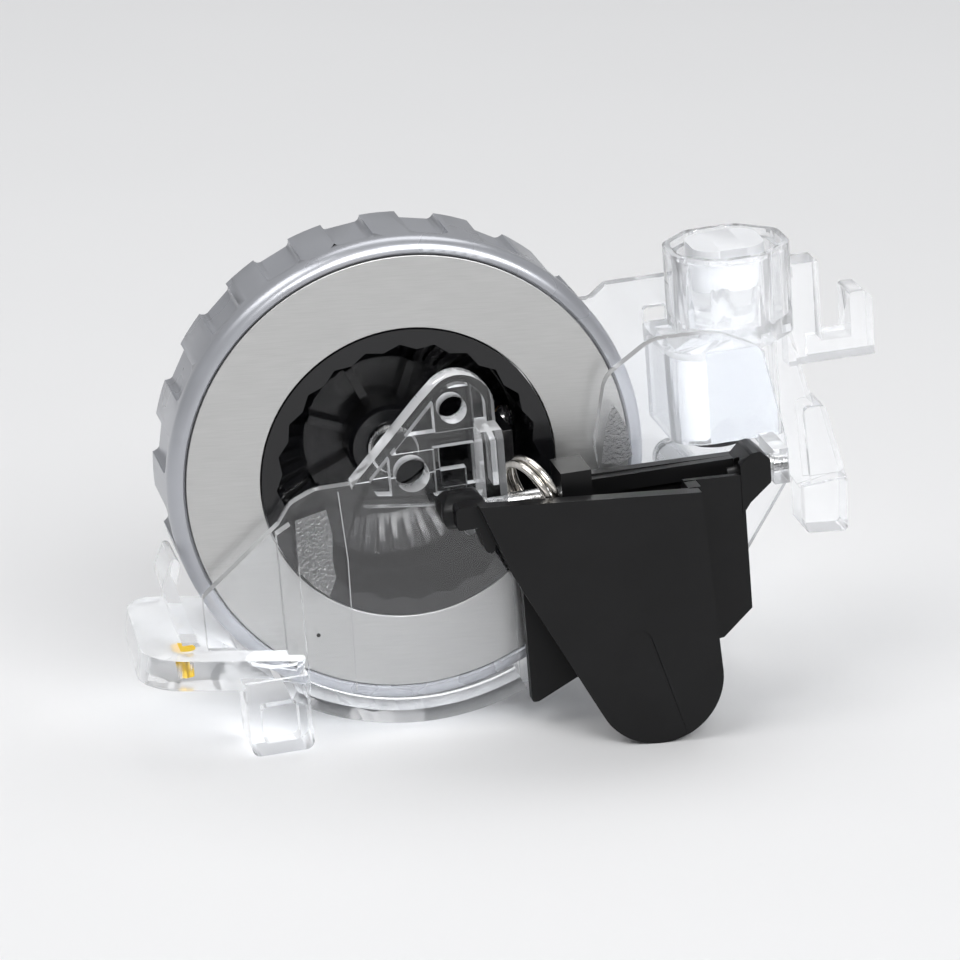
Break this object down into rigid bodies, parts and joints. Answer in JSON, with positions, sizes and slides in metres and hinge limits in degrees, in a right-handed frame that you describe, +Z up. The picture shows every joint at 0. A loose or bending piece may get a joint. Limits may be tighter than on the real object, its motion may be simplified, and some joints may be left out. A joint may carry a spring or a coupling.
{
  "type": "thumbwheel drive module",
  "caption": "Fluted grip wheel with an internal bevel ring in a clear moulded frame, with an inclined pinion, sprung black paddle and light guide tower.",
  "frame": {"origin": "centre of the ear's screw hole, in the ear's front face", "axes": "-Y out of the ear's screw hole, along the wheel axis towards the viewer; +Z up from the table; +X towards the light tower"},
  "size_m": [0.0813, 0.0285, 0.0526],
  "materials": {
    "grip_plastic": "satin, moulded",
    "face_aluminium": "fine circular brushing",
    "insert_black": "semi-gloss",
    "bush_bronze": "sintered",
    "steel": "ground",
    "clear_plastic": "clear moulded",
    "yellow_ink": "ink",
    "white_diffuser": "translucent white",
    "seal_rubber": "smooth",
    "paddle_black": "matte, moulded",
    "spring_steel": "drawn wire"
  },
  "bodies": {
    "frame": {"front_guard": "clear_plastic", "rear_frame": "clear_plastic", "wheel_axle": "steel", "axle_washer": "steel", "axle_cap": "insert_black", "frame_screws": "steel", "pinion_carrier": "insert_black", "pinion_bush": "bush_bronze", "ink_mark": "yellow_ink", "lens_block": "clear_plastic", "light_guide": "clear_plastic", "diffuser_cap": "white_diffuser", "light_seal": "seal_rubber", "hinge_pins": "steel", "torsion_spring": "spring_steel"},
    "wheel": {"grip_ring": "grip_plastic", "face_disc": "face_aluminium", "gear_insert": "insert_black", "hub_bush": "bush_bronze"},
    "pinion": {"bevel_pinion": "insert_black", "pinion_shaft": "steel", "shaft_collar": "steel"},
    "paddle": {"release_paddle": "paddle_black"}
  },
  "joints": [
    {"name": "wheel_spin", "type": "hinge", "parent": "frame", "child": "wheel", "pos_m": [-0.0037, 0.0041, -0.00781], "axis": [0, 1, 0], "continuous": true},
    {"name": "pinion_spin", "type": "hinge", "parent": "frame", "child": "pinion", "pos_m": [-0.0037, 0.02085, -0.00781], "axis": [-0.7007, 0.6826, -0.2076], "continuous": true},
    {"name": "paddle_swing", "type": "hinge", "parent": "frame", "child": "paddle", "pos_m": [0.00545, -0.0023, -0.0094], "axis": [0.9969, 0, 0.0785], "range_deg": [-30, 0], "stiffness_Nm_per_rad": 0.004, "springref_deg": 57.3, "deforming": ["torsion_spring"]}
  ],
  "couplings": [
    {"joint": "pinion_spin", "follows": "wheel_spin", "ratio": 3.1429}
  ]
}
